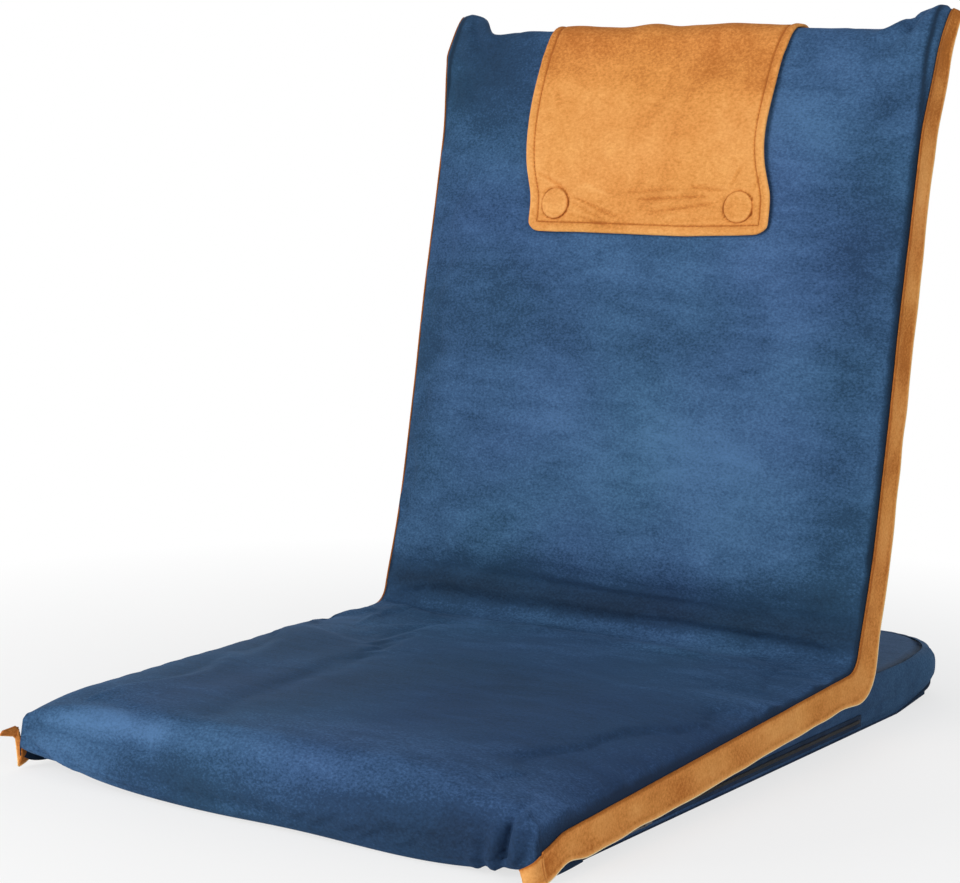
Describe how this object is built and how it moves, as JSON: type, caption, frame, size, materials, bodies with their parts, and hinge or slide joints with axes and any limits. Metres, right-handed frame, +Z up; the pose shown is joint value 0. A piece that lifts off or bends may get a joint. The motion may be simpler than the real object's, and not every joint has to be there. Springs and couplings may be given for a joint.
{
  "type": "folding floor chair",
  "caption": "Folding floor chair with padded seat and back, ratchet hinges, a foot reaching out behind the back, a snap-down head flap and a carry handle.",
  "frame": {"origin": "on the floor, in the middle of the chair's width and of its footprint", "axes": "+X to the right of a person sitting in the chair, seen from behind; +Y to the rear, the way the back leans; +Z up"},
  "size_m": [0.45, 0.6628, 0.5547],
  "materials": {
    "blue_velvet": "short nap, soft sheen",
    "orange_suede": "matt nap",
    "base_fabric": "matt weave",
    "foam": "matt foam",
    "black_webbing": "ribbed weave",
    "frame_paint": "satin black",
    "zinc_steel": "zinc plated, satin",
    "black_plastic": "matt moulded",
    "zip_metal": "dark nickel"
  },
  "bodies": {
    "seat": {"seat_frame_tube": "frame_paint", "seat_cross_tube": "frame_paint", "foot_frame_tube": "frame_paint", "foot_end_plugs": "black_plastic", "foot_spacers": "black_plastic", "foot_bolts": "zinc_steel", "foot_nuts": "zinc_steel", "seat_webbing": "black_webbing", "seat_foam": "foam", "seat_heel_foam": "foam", "seat_cover": "blue_velvet", "bend_cover": "blue_velvet", "seat_band_left": "orange_suede", "seat_band_right": "orange_suede", "seat_underside_panel": "blue_velvet", "foot_foam": "foam", "foot_cover": "blue_velvet", "foot_bottom_panel": "base_fabric", "hinge_bracket_left": "zinc_steel", "hinge_bracket_right": "zinc_steel", "hinge_pin_left": "zinc_steel", "hinge_pin_right": "zinc_steel", "bracket_rivets": "zinc_steel", "pawl_pins": "zinc_steel", "pawl_spring_left": "zinc_steel", "pawl_spring_right": "zinc_steel", "zip_tape": "base_fabric", "zip_coil": "black_plastic"},
    "back": {"back_frame_tube": "frame_paint", "back_cross_tube": "frame_paint", "back_webbing": "black_webbing", "back_foam": "foam", "back_heel_foam": "foam", "back_cover": "blue_velvet", "back_rear_panel": "blue_velvet", "back_band_left": "orange_suede", "back_band_right": "orange_suede", "ratchet_arm_left": "zinc_steel", "ratchet_arm_right": "zinc_steel", "arm_rivets": "zinc_steel", "flap_anchor": "orange_suede", "snap_sockets": "zinc_steel", "handle_tabs": "black_webbing"},
    "pawl_left": {"pawl_left": "zinc_steel"},
    "pawl_right": {"pawl_right": "zinc_steel"},
    "flap": {"head_flap": "orange_suede", "snap_button_left": "orange_suede", "snap_button_right": "orange_suede"},
    "handle": {"carry_handle": "black_webbing"},
    "slider": {"zip_slider": "zip_metal"},
    "pull": {"zip_pull": "zip_metal"}
  },
  "joints": [
    {"name": "back_fold", "type": "hinge", "parent": "seat", "child": "back", "pos_m": [0, 0.124, 0.043], "axis": [1, 0, 0], "range_deg": [-54, 88], "deforming": ["bend_cover"]},
    {"name": "pawl_left_swing", "type": "hinge", "parent": "seat", "child": "pawl_left", "pos_m": [-0.206, 0.1003, 0.03713], "axis": [1, 0, 0], "range_deg": [0, 6]},
    {"name": "pawl_right_swing", "type": "hinge", "parent": "seat", "child": "pawl_right", "pos_m": [0.206, 0.1003, 0.03713], "axis": [1, 0, 0], "range_deg": [0, 6]},
    {"name": "flap_lift", "type": "hinge", "parent": "back", "child": "flap", "pos_m": [0, 0.1989, 0.53506], "axis": [-1, 0, 0], "range_deg": [0, 150]},
    {"name": "handle_swing", "type": "hinge", "parent": "back", "child": "handle", "pos_m": [0.208, 0.1901, 0.29799], "axis": [0, 0.1959, 0.9806], "range_deg": [-30, 30]},
    {"name": "zip_travel", "type": "slide", "parent": "seat", "child": "slider", "axis": [0, 1, 0], "range_m": [0, 0.32]},
    {"name": "zip_pull_swing", "type": "hinge", "parent": "slider", "child": "pull", "pos_m": [0.221, -0.1955, 0.009], "axis": [0, 0, 1], "range_deg": [0, 165]}
  ]
}
